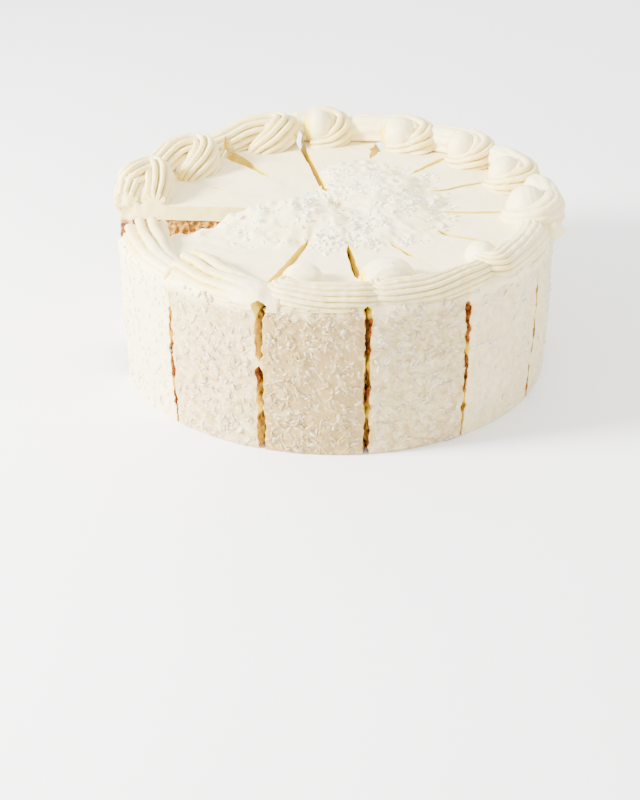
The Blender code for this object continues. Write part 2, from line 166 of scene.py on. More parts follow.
# How many shreds of coconut are drawn for the side and for the top, and how low they may lie.
SIDE_SHREDS = 6500
SIDE_SEED = 5
TOP_SHREDS = 2400
TOP_SEED = 6
STRIP_LOWEST = 0.0003

# How finely things are built, and how far a slice is made past its cuts, in degrees.
OVERRUN = 2.0
ARC_STEPS = 44
SIDE_STEPS = 62
TOP_STEPS = 92
ROPE_STEPS = 110
GAP_GRAIN = 0.00062
CUT_GRAIN = 0.0013
LUMP_RINGS = 30
LUMP_SEGMENTS = 48
RIPPLES = 9.0
# How many ridges a rope of each kind has, and how wide and high its section is stretched.
ROPE_RIDGES = {FOLDED: 11, KNOBBED: 8, FLATTENED: 15, SWEPT: 9}
RIDGE_STEPS = 8
ROPE_SPREADS = {FOLDED: (1.0, 1.0), KNOBBED: (1.0, 1.0), FLATTENED: (1.10, 0.92), SWEPT: (1.28, 0.84)}
# A rope's section: below this share of its radius it spreads, down to this depth in the top.
ROPE_SHOULDER = 0.40
ROPE_SUNK = 0.0016

TOTAL_SLICES = len(SLICE_WIDTHS)


# Numbers ------------------------------------------------------------------------------------


def cell_value(cells, seed):
    """A repeatable number from -1 to 1 for each whole-number cell."""
    mixed = cells[..., 0] * 73856093 ^ cells[..., 1] * 19349663 ^ cells[..., 2] * 83492791
    mixed = (mixed + seed * 374761393) & 0xFFFFFFFF
    mixed = ((mixed ^ (mixed >> 13)) * 1274126177) & 0xFFFFFFFF
    mixed = ((mixed ^ (mixed >> 15)) * 668265263) & 0xFFFFFFFF
    return ((mixed >> 8) & 0xFFFF) / 32767.5 - 1


def noise(points, size, seed):
    """Smooth noise from -1 to 1 at each point, with lumps of about this size."""
    scaled = np.asarray(points) / size
    cells = np.floor(scaled).astype(np.int64)
    part = scaled - cells
    part = part * part * (3 - 2 * part)
    total = 0
    for corner in product((0, 1), repeat=3):
        weight = np.prod(np.where(corner, part, 1 - part), axis=-1)
        total = total + weight * cell_value(cells + np.array(corner), seed)
    return total


def pits(points, size, seed):
    """How far each point is from the nearest of a set of scattered spots, in spot spacings."""
    scaled = np.asarray(points) / size
    cells = np.floor(scaled).astype(np.int64)
    nearest = np.full(scaled.shape[:-1], 9.0)
    for step in product((-1, 0, 1), repeat=3):
        cell = cells + np.array(step)
        jitter = np.stack([cell_value(cell, seed + axis) for axis in range(3)], axis=-1)
        spot = cell + 0.5 + 0.45 * jitter
        nearest = np.minimum(nearest, np.linalg.norm(scaled - spot, axis=-1))
    return nearest


def ease(value):
    value = np.clip(value, 0.0, 1.0)
    return value * value * (3 - 2 * value)


def round_axis(bearing, radius, height):
    """Points at these bearings in degrees, distances from the axis and heights."""
    turn = np.radians(bearing)
    return np.stack(np.broadcast_arrays(radius * np.sin(turn), -radius * np.cos(turn), height), -1)


def slice_spans():
    """The start and end bearing of each slice, with half of each cut's opening taken off."""
    spans = []
    start = FIRST_CUT
    openings = (0.0, *CUT_OPENINGS, 0.0)
    for number, width in enumerate(SLICE_WIDTHS):
        end = start + width
        pulled = 2 * PULLED_OUT * math.sin(math.radians(width / 2))
        before = math.degrees(max(openings[number] - pulled, 0.0) / 2 / RADIUS)
        after = math.degrees(max(openings[number + 1] - pulled, 0.0) / 2 / RADIUS)
        spans.append((start + before, end - after))
        start = end
    return spans


SPANS = slice_spans()
BEARINGS = [swirl[1] for swirl in SWIRLS]


def slice_shift(number):
    """Where the slice stands: a little out from the axis, which has its own place."""
    return round_axis(sum(SPANS[number]) / 2, PULLED_OUT, 0.0) + np.array(AXIS_PLACE)


def label(number):
    return f"slice_{number + 1:02d}"


# Meshes -------------------------------------------------------------------------------------


def put_mesh(name, corners, faces):
    mesh = bpy.data.meshes.new(name)
    mesh.from_pydata(np.asarray(corners).tolist(), [], faces)
    mesh.validate()
    thing = bpy.data.objects.new(name, mesh)
    bpy.context.scene.collection.objects.link(thing)
    return thing


def lofted(name, rings):
    """A closed solid through rings of points, with flat ends."""
    count, around = rings.shape[:2]
    here = np.arange(count - 1)[:, None] * around + np.arange(around)
    there = np.arange(count - 1)[:, None] * around + (np.arange(around) + 1) % around
    faces = np.stack([here, there, there + around, here + around], -1).reshape(-1, 4).tolist()
    faces.append(list(range(around))[::-1])
    faces.append(list(range((count - 1) * around, count * around)))
    return put_mesh(name, rings.reshape(-1, 3), faces)


def block_surface(name, counts, place):
    """A closed solid with the layout of a box: place gives the points for lattice places."""
    lattice = np.stack(np.meshgrid(*[np.arange(n + 1) for n in counts], indexing="ij"), -1)
    top = np.array(counts)
    outer = ((lattice == 0) | (lattice == top)).any(axis=-1)
    index = np.full(outer.shape, -1)
    index[outer] = np.arange(outer.sum())
    corners = place(lattice[outer] / top)
    faces = []
    for axis in range(3):
        for end in (0, counts[axis]):
            sheet = np.take(index, end, axis=axis)
            if (end == 0) != (axis == 1):
                sheet = sheet.T
            quads = np.stack(
                [sheet[:-1, :-1], sheet[1:, :-1], sheet[1:, 1:], sheet[:-1, 1:]], -1)
            faces += quads.reshape(-1, 4).tolist()
    return put_mesh(name, corners, faces)


def mesh_corners(mesh):
    flat = np.empty(len(mesh.vertices) * 3, dtype=np.float32)
    mesh.vertices.foreach_get("co", flat)
    return flat.reshape(-1, 3).astype(float)


def mesh_normals(mesh):
    flat = np.empty(len(mesh.vertices) * 3, dtype=np.float32)
    mesh.vertex_normals.foreach_get("vector", flat)
    return flat.reshape(-1, 3).astype(float)


def set_corners(mesh, corners):
    mesh.vertices.foreach_set("co", np.asarray(corners, dtype=np.float32).ravel())
    mesh.update()


def store(mesh, name, values):
    """Keep one number for each corner of the mesh, for its material to read."""
    layer = mesh.attributes.new(name, "FLOAT", "POINT")
    layer.data.foreach_set("value", np.asarray(values, dtype=np.float32))


def boolean(thing, operation, others):
    """Join or cut an object with others, keep the result and remove the others."""
    for other in others:
        modifier = thing.modifiers.new(operation.lower(), "BOOLEAN")
        modifier.operation = operation
        modifier.solver = "MANIFOLD"
        modifier.object = other
    bpy.context.view_layer.update()
    graph = bpy.context.evaluated_depsgraph_get()
    mesh = bpy.data.meshes.new_from_object(thing.evaluated_get(graph))
    thing.modifiers.clear()
    thing.data = mesh
    for other in others:
        bpy.data.objects.remove(other, do_unlink=True)


def smoothed(mesh, corners, rounds):
    """Corner places after rounds of averaging with their neighbours."""
    flat = np.empty(len(mesh.edges) * 2, dtype=np.int32)
    mesh.edges.foreach_get("vertices", flat)
    one, two = flat.reshape(-1, 2).T
    degree = np.bincount(flat, minlength=len(corners))[:, None]
    places = corners
    for _ in range(rounds):
        total = np.zeros_like(places)
        np.add.at(total, one, places[two])
        np.add.at(total, two, places[one])
        places = total / np.maximum(degree, 1)
    return places


def store_hollows(mesh, rounds=7, depth=0.0007):
    """Mark the grooves and creases, 1 in a hollow and 0 on a crest, for the material to paint shade
    into.
    """
    corners = mesh_corners(mesh)
    lifted = np.einsum("ij,ij->i", smoothed(mesh, corners, rounds) - corners, mesh_normals(mesh))
    store(mesh, "hollow", ease(0.5 + 0.5 * lifted / depth))


# The cuts -----------------------------------------------------------------------------------


def sponge_share(height):
    """1 at the heights of the sponge layers and 0 at the cream between them."""
    return sum(ease((height - low) / 0.003 + 0.5) * ease((high - height) / 0.003 + 0.5)
               for low, high in LEVELS)


def torn_open(cut, reach, height):
    """How far a cut's edges are broken back beside the border and at the top of the side."""
    widest, start = TORN_BORDERS.get(cut, (0.0, 0.0))
    torn = widest * ease((reach - start) / 0.020) * ease((height - HEIGHT + 0.010) / 0.008)
    widest, lowest = TORN_SIDES.get(cut, (0.0, 0.0))
    return torn + widest * ease((height - lowest) / 0.010) * ease((reach - RADIUS + 0.012) / 0.006)


def filled_share(cut, seed, spot, crust):
    """How far smeared filling, crumbs and sponge close a cut near the side, from 0 to 1."""
    reach = spot[..., 0]
    height = spot[..., 1]
    smeared = SMEARED_FILLINGS.get(cut, 0.0) * (1 - sponge_share(height)) * crust
    smeared = smeared * np.clip(0.9 + noise(spot, 0.006, 83 + cut), 0, 1)
    smeared = smeared * ease((HEIGHT - 0.016 - height) / 0.002)
    crumbs = ease((HEIGHT - 0.0045 - height) / 0.003) * ease((reach - CRUMBS_FROM) / 0.008)
    crumbs = crumbs * ease((RADIUS - 0.0014 - reach) / 0.0030)
    crumbs = crumbs * np.clip(0.62 + 0.8 * noise(spot, 0.0034, seed + 80), 0.1, 0.93)
    narrowed = NARROWED.get(cut, 0.0) * crust * sponge_share(height)
    return np.maximum(np.maximum(smeared, crumbs), narrowed)


def bridged_share(cut, spot):
    """How far the border and the coconut close a cut at the top, from 0 to 1."""
    reach = spot[..., 0]
    height = spot[..., 1]
    ragged = RAGGEDNESS * noise(spot, 0.004, 77 + cut)
    lower = HEIGHT - CUT_COVERS[cut] + ragged
    covered = ease((height - lower) / 0.0015 + 0.5)
    covered = covered * ease((reach - COVER_REACHES[cut]) / 0.006 + 0.5 + ragged * 300)
    inner = ease((height - HEIGHT + BRIDGE_DEPTH) / 0.0015 + 0.5)
    inner = inner * ease((CUT_STARTS[cut] - reach) / 0.010 + 0.5 + ragged * 400)
    return np.maximum(covered, inner)


def cut_relief(number, side, reach, height):
    """How far a cut face stands back from its plane, at this distance from the axis."""
    seed = 100 + number * 2 + side
    spot = np.stack(np.broadcast_arrays(reach, height, 0.0), -1)
    waves = 0.00035 * noise(spot, 0.011, seed) + 0.00022 * noise(spot, 0.0042, seed + 50)
    slump = 0.0006 * ease((height - HEIGHT + 0.010) / 0.010)
    crust = ease((reach - RADIUS + 0.011) / 0.004)
    torn = 0.0008 * noise(spot, 0.0048, seed + 60) + 0.0009 * noise(spot, 0.0022, seed + 70)
    relief = 0.00025 + waves + slump + torn * (0.25 + 0.75 * crust)
    cut = number - 1 + side
    if 0 <= cut < len(CUT_OPENINGS):
        relief = relief + torn_open(cut, reach, height)
        pulled = PULLED_OUT * math.sin(math.radians(SLICE_WIDTHS[number] / 2))
        taken = max(CUT_OPENINGS[cut] / 2 - pulled, 0.0)
        bridged = HAIRLINE - pulled - taken * reach / RADIUS
        relief = relief + (bridged - relief) * filled_share(cut, seed, spot, crust)
        relief = relief + (bridged - relief) * bridged_share(cut, spot)
    return relief * ease(reach / 0.02)


def knife_wedge(number):
    """The space between a slice's two cuts, with their uneven faces."""
    start, end = SPANS[number]
    reaches = np.concatenate([np.linspace(0.0, 0.108, 42), np.linspace(0.110, 0.134, 16), [0.17]])
    heights = np.concatenate([[-0.02], np.linspace(0.0, 0.112, 76), [0.14]])
    rings = []
    for height in heights:
        loop = []
        for side, bearing in enumerate((start, end)):
            inward = 90 if side == 0 else -90
            relief = cut_relief(number, side, reaches, height)
            points = round_axis(bearing, reaches, height)
            points = points + round_axis(bearing + inward, relief, 0.0)
            loop.append(points if side == 0 else points[::-1])
        rings.append(np.concatenate([loop[0], loop[1][:-1]]))
    return lofted("knife", np.array(rings))


# The icing ----------------------------------------------------------------------------------


def sponge_levels():
    """The underside and the top of each sponge layer, from the bottom up."""
    levels = []
    for layer in ("bottom", "middle", "top"):
        low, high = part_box(f"slice_01_sponge_{layer}")
        levels.append((low[2], high[2]))
    return levels


LEVELS = sponge_levels()


def bearing_of(points):
    """The bearing of each point, counted on from the first cut."""
    bearing = np.degrees(np.arctan2(points[..., 0], -points[..., 1]))
    return np.where(bearing < FIRST_CUT - 8, bearing + 360, bearing)


def heap_edge(points):
    return np.interp(bearing_of(points), MOUND_BEARINGS, MOUND_REACHES)


def heap_height(points):
    """How high the coconut is heaped above the top at these points."""
    heaped = np.interp(bearing_of(points), [sum(span) / 2 for span in SPANS], MOUND_HEIGHTS)
    reach = np.linalg.norm(points[..., :2], axis=-1)
    edge = heap_edge(points) * (1 + 0.10 * noise(points, 0.022, 11))
    rise = heaped * ease((edge - reach) / (edge * 0.60))
    lumps = np.maximum(noise(points, 0.0085, 12), -0.2) * 0.0018
    lumps = lumps + np.maximum(noise(points, 0.0038, 13), -0.4) * 0.0011
    return rise * (1 - 0.2 * ease(1 - reach / 0.02)) + lumps * ease((edge + 0.004 - reach) / 0.012)


def slumped_edge(points):
    """How far the top has sunk and crumbled along the near side of the missing slice."""
    reach = np.linalg.norm(points[..., :2], axis=-1)
    along = reach * np.radians(bearing_of(points) - FIRST_CUT)
    sunk = ease((0.014 - along) / 0.012) * ease((reach - 0.060) / 0.012) * ease((0.103 - reach) / 0.004)
    lumps = np.maximum(noise(points, 0.0060, 17), -0.3) * 0.0022
    lumpy = ease((0.020 - along) / 0.012) * ease((reach - 0.030) / 0.01) * ease((0.104 - reach) / 0.004)
    return lumps * lumpy - SUNK_EDGE * sunk


def top_relief(points):
    """The top's height above its plane."""
    spread = 0.0005 * noise(points, 0.020, 21) + 0.00022 * noise(points, 0.007, 22)
    return spread + heap_height(points) + slumped_edge(points)


def side_radius(height):
    """How far the side stands from the axis at this height."""
    levels = (0.0, WAIST_HEIGHT, HEIGHT - RIM_ROUNDING)
    return np.interp(height, levels, (FOOT_RADIUS, WAIST_RADIUS, RADIUS))


def side_relief(points):
    """How far the side stands out, as the knife and the coconut leave it."""
    stretched = points * np.array([1.0, 1.0, 0.6])
    spread = 0.00055 * noise(stretched, 0.018, 31) + 0.00050 * noise(stretched, 0.0060, 32)
    return spread + 0.00042 * noise(points, 0.0030, 33)


def comb_outline():
    """The icing in section: places, outward directions, and which points are on the outside."""
    places = []
    directions = []
    rise = HEIGHT - RIM_ROUNDING
    for height in np.linspace(0.0, rise, SIDE_STEPS):
        places.append((side_radius(height), height))
        directions.append((1.0, 0.0))
    for turn in np.radians(np.linspace(15, 75, 5)):
        places.append((RADIUS - RIM_ROUNDING * (1 - math.cos(turn)),
                       HEIGHT - RIM_ROUNDING * (1 - math.sin(turn))))
        directions.append((math.cos(turn), math.sin(turn)))
    for reach in np.linspace(RADIUS - RIM_ROUNDING, POINT_RADIUS, TOP_STEPS):
        places.append((reach, HEIGHT))
        directions.append((0.0, 1.0))
    outside = len(places)
    inside = RADIUS - SIDE_COAT
    for low, high in reversed(LEVELS):
        places += [(POINT_RADIUS, high + FIT_GAP), (inside / 2, high + FIT_GAP)]
        places.append((inside, high + FIT_GAP))
        if low > FIT_GAP:
            places += [(inside, low - FIT_GAP), (inside / 2, low - FIT_GAP)]
            places.append((POINT_RADIUS, low - FIT_GAP))
    places.append((inside, 0.0))
    directions += [(0.0, 0.0)] * (len(places) - outside)
    return np.array(places), np.array(directions)


def comb(number):
    """A slice's icing before the cuts: side coat, top coat and fillings."""
    places, directions = comb_outline()
    start, end = SPANS[number]
    rings = []
    for bearing in np.linspace(end + OVERRUN, start - OVERRUN, ARC_STEPS + 1):
        points = round_axis(bearing, places[:, 0], places[:, 1])
        outward = round_axis(bearing, directions[:, 0], directions[:, 1])
        sideways, upward = directions.T
        relief = side_relief(points) * sideways + top_relief(points) * upward
        fade = ease(places[:, 1] / 0.003 + 0.2)
        rings.append(points + outward * (relief * fade)[:, None])
    return lofted(f"{label(number)}_icing", np.array(rings))


def smooth_through(knots, steps):
    """Places along a smooth curve through the knots."""
    knots = np.asarray(knots)
    padded = np.concatenate([2 * knots[:1] - knots[1:2], knots, 2 * knots[-1:] - knots[-2:-1]])
    along = np.linspace(0, len(knots) - 1, steps)
    first = np.minimum(along.astype(int), len(knots) - 2)
    part = (along - first)[:, None]
    before, here, after, beyond = (padded[first + step] for step in range(4))
    return 0.5 * (2 * here + (after - before) * part
                  + (2 * before - 5 * here + 4 * after - beyond) * part ** 2
                  + (3 * here - before - 3 * after + beyond) * part ** 3)


def swirl_knots(number):
    """The centreline and radii of one swirl's rope, a little uneven."""
    (head, tail), bearing, length, width, lift = SWIRLS[number][:5]
    ahead = (BEARINGS + [AFTER_LAST])[number + 1] - bearing
    draw = random.Random(round(bearing * 10))
    rows = [(bearing + math.degrees(along * length / RADIUS), inward * width, above, radius)
            for along, inward, above, radius in head]
    rows += [(bearing + ahead * share, inward, above, radius)
             for share, inward, above, radius in tail]
    knots = []
    for place, inward, above, radius in rows:
        place += math.degrees(draw.uniform(-1, 1) * SWIRL_UNEVENNESS / RADIUS)
        inward += draw.uniform(-1, 1) * SWIRL_UNEVENNESS
        above += draw.uniform(-0.5, 0.5) * SWIRL_UNEVENNESS
        centre = round_axis(place, RADIUS - inward, HEIGHT + above * lift)
        knots.append((*centre, radius * (0.5 + 0.5 * lift)))
    return knots


def ridged_rope(number):
    """A piped rope of icing: sharp grooves between rounded ridges, and a flat sole."""
    seed = number * 7 + 400
    groove_at_head, groove_at_tail = SWIRLS[number][6:]
    ridges = ROPE_RIDGES[SWIRLS[number][0]]
    path = smooth_through(swirl_knots(number), ROPE_STEPS)
    centres = path[:, :3]
    steps = np.arange(ROPE_STEPS)
    tip = ease(np.minimum((steps + 1.5) / 6, (ROPE_STEPS - 0.5 - steps) / 5))
    radii = path[:, 3] * (0.25 + 0.75 * tip) * (1 + 0.05 * noise(centres, 0.014, seed + 4))
    ahead = np.gradient(centres, axis=0)
    ahead /= np.linalg.norm(ahead, axis=1)[:, None]
    across = np.cross(ahead, (0.0, 0.0, 1.0))
    across /= np.linalg.norm(across, axis=1)[:, None]
    up = np.cross(across, ahead)
    count = ridges * RIDGE_STEPS
    turn = 2 * np.pi * np.arange(count) / count
    drift = 0.35 * noise(centres, 0.03, seed)[:, None]
    crest = np.abs(np.cos(ridges / 2 * (turn[None, :] + drift)))
    along = steps / (ROPE_STEPS - 1)
    depth = groove_at_head + (groove_at_tail - groove_at_head) * ease((along - 0.35) / 0.5)
    depth = (depth * (1 + 0.3 * noise(centres, 0.012, seed + 1)))[:, None]
    reach = 1 - depth * (1 - crest) ** 1.8
    level = reach * np.sin(turn)
    below = np.clip(-level - ROPE_SHOULDER, 0, None) / (1 - ROPE_SHOULDER)
    sole = (centres[:, 2] - HEIGHT + ROPE_SUNK) / radii
    spread = np.maximum(sole, ROPE_SHOULDER + 0.15)[:, None] - ROPE_SHOULDER
    y = np.maximum(level, -ROPE_SHOULDER) - below * spread
    x = reach * np.cos(turn)
    wide, high = ROPE_SPREADS[SWIRLS[number][0]]
    x = x * (1 + 0.35 * np.sin(np.pi * np.clip(below, 0, 1))) * wide
    y = np.where(y > 0, y * high, y)
    rings = centres[:, None] + radii[:, None, None] * (
        x[..., None] * across[:, None] + y[..., None] * up[:, None])
    wobble = 0.0004 * noise(rings, 0.0080, seed + 2) + 0.0003 * noise(rings, 0.0030, seed + 3)
    outward = rings - centres[:, None]
    outward /= np.linalg.norm(outward, axis=-1)[..., None]
    rope = lofted("rope", rings + outward * wobble[..., None])
    # Mark the painted shade in the grooves between the ridges, deeper where the grooves are deeper.
    store(rope.data, "groove_shade", ((1 - crest) ** 1.6 * np.clip(depth / 0.35, 0, 1)).ravel())
    return rope


def rounded(name, place, sizes, taper, ripple, seed):
    """A rounded lump of cream. Its place is a bearing, a distance from the axis and a height."""
    ring_turns = np.radians(np.linspace(-88, 88, LUMP_RINGS))
    turns = 2 * np.pi * np.arange(LUMP_SEGMENTS) / LUMP_SEGMENTS
    unit = np.stack([np.cos(ring_turns)[:, None] * np.cos(turns),
                     np.cos(ring_turns)[:, None] * np.sin(turns),
                     np.broadcast_to(np.sin(ring_turns)[:, None],
                                     (LUMP_RINGS, LUMP_SEGMENTS))], -1)
    narrowed = unit * (1 - taper * ease(-unit[..., 1:2]) * np.array((1.0, 0.0, 1.0)))
    turn = math.radians(place[0])
    spin = np.array([[math.cos(turn), -math.sin(turn), 0], [math.sin(turn), math.cos(turn), 0],
                     [0, 0, 1]])
    points = (narrowed * np.array(sizes)) @ spin.T + round_axis(*place)
    lumps = 0.0007 * noise(points, 0.008, seed) + 0.0002 * noise(points, 0.003, seed + 20)
    across = unit[..., 1] + 0.25 * unit[..., 0] ** 2
    arcs = (1 - np.abs(np.cos(RIPPLES * across + 1.2 * noise(points, 0.010, seed + 40)))) ** 1.5
    lumps = lumps - ripple * arcs * ease(0.6 + noise(points, 0.012, seed + 60))
    return lofted(name, points + (unit @ spin.T) * lumps[..., None])


def knob(number):
    """The smooth knob of cream that a swirl's head wraps round."""
    kind, bearing, length, width, lift, radius = SWIRLS[number][:6]
    along, inward, above, shape = KNOBS[kind]
    sizes = radius * np.array(shape) * (length, 1.0, 0.5 + 0.5 * lift)
    place = (bearing + math.degrees(along * length / RADIUS), RADIUS - inward * width,
             HEIGHT + above * lift)
    ripple = KNOB_RIPPLES[kind]
    return rounded("knob", place, sizes, 0.0, ripple, number + 700)


def crossing_swirls(number):
    """The swirls that reach into a slice."""
    start, end = SPANS[number]
    reaching = []
    for index, (swirl, after) in enumerate(zip(SWIRLS, BEARINGS[1:] + [AFTER_LAST])):
        (head, tail), bearing, length = swirl[:3]
        first = bearing + math.degrees(min(row[0] for row in head) * length / RADIUS) - SWIRL_REACH
        last = bearing + (after - bearing) * tail[-1][0] + SWIRL_REACH
        if first < end and last > start:
            reaching.append(index)
    return reaching


def store_looks(number, mesh):
    """Mark the cut faces and the smeared crumbs on them, both with painted shade, and the painted shade
    on the side and the border, for the material.
    """
    corners = mesh_corners(mesh)
    reach = np.linalg.norm(corners[:, :2], axis=1)
    bearing = np.degrees(np.arctan2(corners[:, 0], -corners[:, 1]))
    middle = sum(SPANS[number]) / 2
    bearing = middle + (bearing - middle + 180) % 360 - 180
    across = round_axis(bearing + 90, 1.0, 0.0)
    facing = np.abs(np.einsum("ij,ij->i", across, mesh_normals(mesh)))
    start, end = SPANS[number]
    nearest = reach * np.sin(np.radians(np.minimum(bearing - start, end - bearing)))
    backward = -np.einsum("ij,ij->i", round_axis(bearing, 1.0, 0.0), mesh_normals(mesh))
    nearest_wall, farthest_wall = END_WALLS
    inner = (reach > nearest_wall) & (reach < farthest_wall)
    end_wall = ease((backward - 0.3) / 0.3) * (nearest < 0.0035) * inner
    # The cut faces get painted shade, weaker on the open faces beside the missing slice.
    cut = np.maximum(ease((facing - 0.5) / 0.3) * (nearest < 0.0055), end_wall)
    open_side = {0: bearing < middle, TOTAL_SLICES - 1: bearing > middle}.get(number, False)
    store(mesh, "cut", cut * np.where(open_side, OPEN_CUT_SHADE, 1.0))
    # Painted shade on the side, darker on the slices that stand away from the light, and on the border.
    side = ease((reach - RADIUS + 0.005) / 0.002) * ease((HEIGHT - 0.003 - corners[:, 2]) / 0.008)
    rim = ease((reach - RADIUS + 0.022) / 0.006) * (1 - side)
    store(mesh, "tan_and_shade", side * SIDE_PAINTED_SHADES[number] + rim * BORDER_PAINTED_SHADES[number])
    # Crumbs smeared on the cut faces of the side coat, patchy, with painted shade deep in the cuts.
    level = sponge_share(corners[:, 2])
    patches = 1.15 + noise(corners, 0.008, 51) + 0.5 * noise(corners, 0.0025, 52)
    coat = ease((reach - RADIUS + SIDE_COAT) / 0.002)
    store(mesh, "crumbs_and_shade", np.clip(level * coat * patches, 0, 1) * cut)


def icing(number):
    """One slice's icing with the border that crosses it, cut out of the whole."""
    piece = comb(number)
    extras = []
    for swirl in crossing_swirls(number):
        extras.append(ridged_rope(swirl))
        if SWIRLS[swirl][5]:
            extras.append(knob(swirl))
    if number + 1 == DRIP_SLICE:
        extras.append(rounded("drip", DRIP_PLACE, DRIP_RADII, DRIP_TAPER, 0.0, 760))
    boolean(piece, "UNION", extras)
    boolean(piece, "INTERSECT", [knife_wedge(number)])
    mesh = piece.data
    store_looks(number, mesh)
    set_corners(mesh, mesh_corners(mesh) + slice_shift(number))
    store_hollows(mesh)
    mesh.shade_smooth()
    mesh.set_sharp_from_angle(angle=math.radians(55))
    return piece


# The sponge ---------------------------------------------------------------------------------


def crumb_relief(points, seed):
    """How deep the open crumb goes below a cut face."""
    holes = np.maximum(0.55 - pits(points, 0.0036, seed), 0) * 0.0042
    small = np.maximum(0.50 - pits(points, 0.0019, seed + 9), 0) * 0.0016
    rough = 0.00030 * (1 + noise(points, 0.0016, seed + 20))
    return holes + small + rough


def swelling(number, side, points, reach):
    """How far crumbs stand out into the mouth of a cut."""
    cut = number - 1 + side
    if not 0 <= cut < len(CUT_OPENINGS):
        return 0.0
    room = CUT_OPENINGS[cut] / 2 * ease((reach - RADIUS + SIDE_COAT + 0.010) / 0.006)
    return room * np.clip(0.5 + 0.6 * noise(points, 0.005, 61 + cut), 0, 0.9)


def sponge(number, layer):
    """One layer of sponge in a slice, with open crumb on its cut faces."""
    name = ("bottom", "middle", "top")[layer]
    low, high = LEVELS[layer]
    low = max(low - FIT_GAP, 0.0)
    high = high + FIT_GAP
    start, end = SPANS[number]
    outer = RADIUS - SIDE_COAT
    at_gap = number in (0, TOTAL_SLICES - 1)
    grain = GAP_GRAIN if at_gap else CUT_GRAIN
    counts = (6, round(outer / grain), round((high - low) / grain))

    def place(share):
        """Lattice shares: round the slice, outward and up."""
        round_share, out_share, up_share = share.T
        reach = POINT_RADIUS + (outer - POINT_RADIUS) * out_share
        height = low + (high - low) * up_share
        bearing = start + (end - start) * round_share
        points = round_axis(bearing, reach, height)
        for side, place_of_side in enumerate((0.0, 1.0)):
            inward = round_axis((start if side == 0 else end) + (90 if side == 0 else -90), 1.0, 0.0)
            relief = cut_relief(number, side, reach, height)
            relief = relief + crumb_relief(points, 900 + number * 7 + layer + side * 3)
            relief = relief - swelling(number, side, points, reach)
            relief = relief * (round_share == place_of_side) * ease(reach / 0.02)
            points = points + inward * relief[:, None]
        return points

    piece = block_surface(f"{label(number)}_crumb_{name}", counts, place)
    mesh = piece.data
    corners = mesh_corners(mesh)
    reach = np.linalg.norm(corners[:, :2], axis=1)
    patchy = 1 + 0.5 * noise(corners, 0.006, 41) + 0.4 * noise(corners, 0.0022, 42)
    rind = np.exp(-np.maximum(outer - reach, 0) / 0.0022)
    top_rind = np.exp(-np.maximum(high - corners[:, 2], 0) / 0.0011) * (0.9 if layer == 1 else 0.4)
    base_rind = np.exp(-np.maximum(corners[:, 2] - low, 0) / 0.0016) * (1.0 if layer == 0 else 0.35)
    store(mesh, "crust", np.clip((rind + top_rind + base_rind) * patchy, 0, 1.4))
    set_corners(mesh, corners + slice_shift(number))
    # Mark the pores for their painted shade.
    store_hollows(mesh, 3, 0.0006)
    mesh.shade_smooth()
    return piece


# The coconut --------------------------------------------------------------------------------


def strips(name, centres, outward, lengths, widths, thicknesses, painted_shades, draw):
    """Bent, twisted strips of coconut lying on a surface, as one mesh."""
    count = len(centres)
    spin = draw.uniform(0, 2 * np.pi, count)
    helper = np.where(np.abs(outward[:, 2:3]) > 0.8, (1.0, 0.0, 0.0), (0.0, 0.0, 1.0))
    east = np.cross(helper, outward)
    east /= np.linalg.norm(east, axis=1)[:, None]
    north = np.cross(outward, east)
    ahead = east * np.cos(spin)[:, None] + north * np.sin(spin)[:, None]
    tilt = draw.normal(0, 0.16, count)[:, None]
    ahead = ahead * np.cos(tilt) + outward * np.sin(tilt)
    across = np.cross(outward, ahead)
    roll = draw.normal(0, 0.45, count)[:, None]
    up = np.cross(ahead, across)
    across, up = across * np.cos(roll) + up * np.sin(roll), up * np.cos(roll) - across * np.sin(roll)
    bend = draw.uniform(-0.22, 0.22, count)[:, None] * lengths[:, None]
    lift = draw.uniform(0.0, 0.10, count)[:, None] * lengths[:, None]
    corners = []
    for share, narrow in ((-0.5, 0.45), (-0.18, 1.0), (0.2, 0.9), (0.5, 0.4)):
        middle = centres + ahead * lengths[:, None] * share
        middle = middle + across * bend * (4 * share * share - 0.5) - up * lift * 4 * share * share
        for sideways, upward in ((-0.5, -0.5), (0.5, -0.5), (0.5, 0.5), (-0.5, 0.5)):
            corners.append(middle + across * widths[:, None] * sideways * narrow
                           + up * thicknesses[:, None] * upward)
    corners = np.stack(corners, 1)
    corners[..., 2] += np.maximum(STRIP_LOWEST - corners[..., 2].min(axis=1), 0)[:, None]
    corners = corners.reshape(-1, 3)
    faces = [(3, 2, 1, 0), (12, 13, 14, 15)]
    for ring in range(3):
        for side in range(4):
            one = ring * 4 + side
            two = ring * 4 + (side + 1) % 4
            faces.append((one, two, two + 4, one + 4))
    every = (np.array(faces)[None] + np.arange(count)[:, None, None] * 16).reshape(-1, 4)
    piece = put_mesh(name, corners, every.tolist())
    # Each strip keeps its share of painted shade for the material.
    store(piece.data, "tan_and_shade", np.repeat(painted_shades, 16))
    piece.data.shade_smooth()
    return piece


